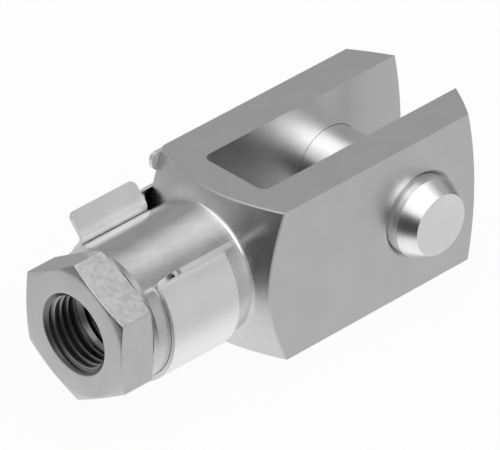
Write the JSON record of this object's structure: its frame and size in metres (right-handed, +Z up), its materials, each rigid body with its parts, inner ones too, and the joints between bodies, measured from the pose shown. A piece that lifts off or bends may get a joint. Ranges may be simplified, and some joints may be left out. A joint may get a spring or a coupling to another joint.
{
  "type": "rod clevis",
  "caption": "Steel fork head with a threaded neck, a thin lock nut, and a clevis pin held by a spring clip that snaps round the neck.",
  "frame": {"origin": "the pin's centre, midway between the ears", "axes": "+X along the fork from the thread to the ears' ends, +Y along the pin to the side that carries the clip's arm, +Z up"},
  "size_m": [0.0682, 0.0302, 0.024],
  "materials": {
    "fork_steel": "satin zinc-plated faces, bright turned neck",
    "nut_zinc": "zinc-plated, mottled",
    "clip_steel": "bright zinc-plated spring steel",
    "pin_steel": "bright turned"
  },
  "bodies": {
    "fork": {"fork_body": "fork_steel"},
    "nut": {"jam_nut": "nut_zinc"},
    "clip": {"spring_clip": "clip_steel", "clevis_pin": "pin_steel"}
  },
  "joints": [
    {"name": "clip_swing", "type": "hinge", "parent": "fork", "child": "clip", "pos_m": [0, 0, 0], "axis": [0, -1, 0], "range_deg": [0, 322], "deforming": ["spring_clip"]},
    {"name": "nut_turn", "type": "hinge", "parent": "fork", "child": "nut", "pos_m": [-0.051, 0, 0], "axis": [1, 0, 0], "continuous": true}
  ]
}
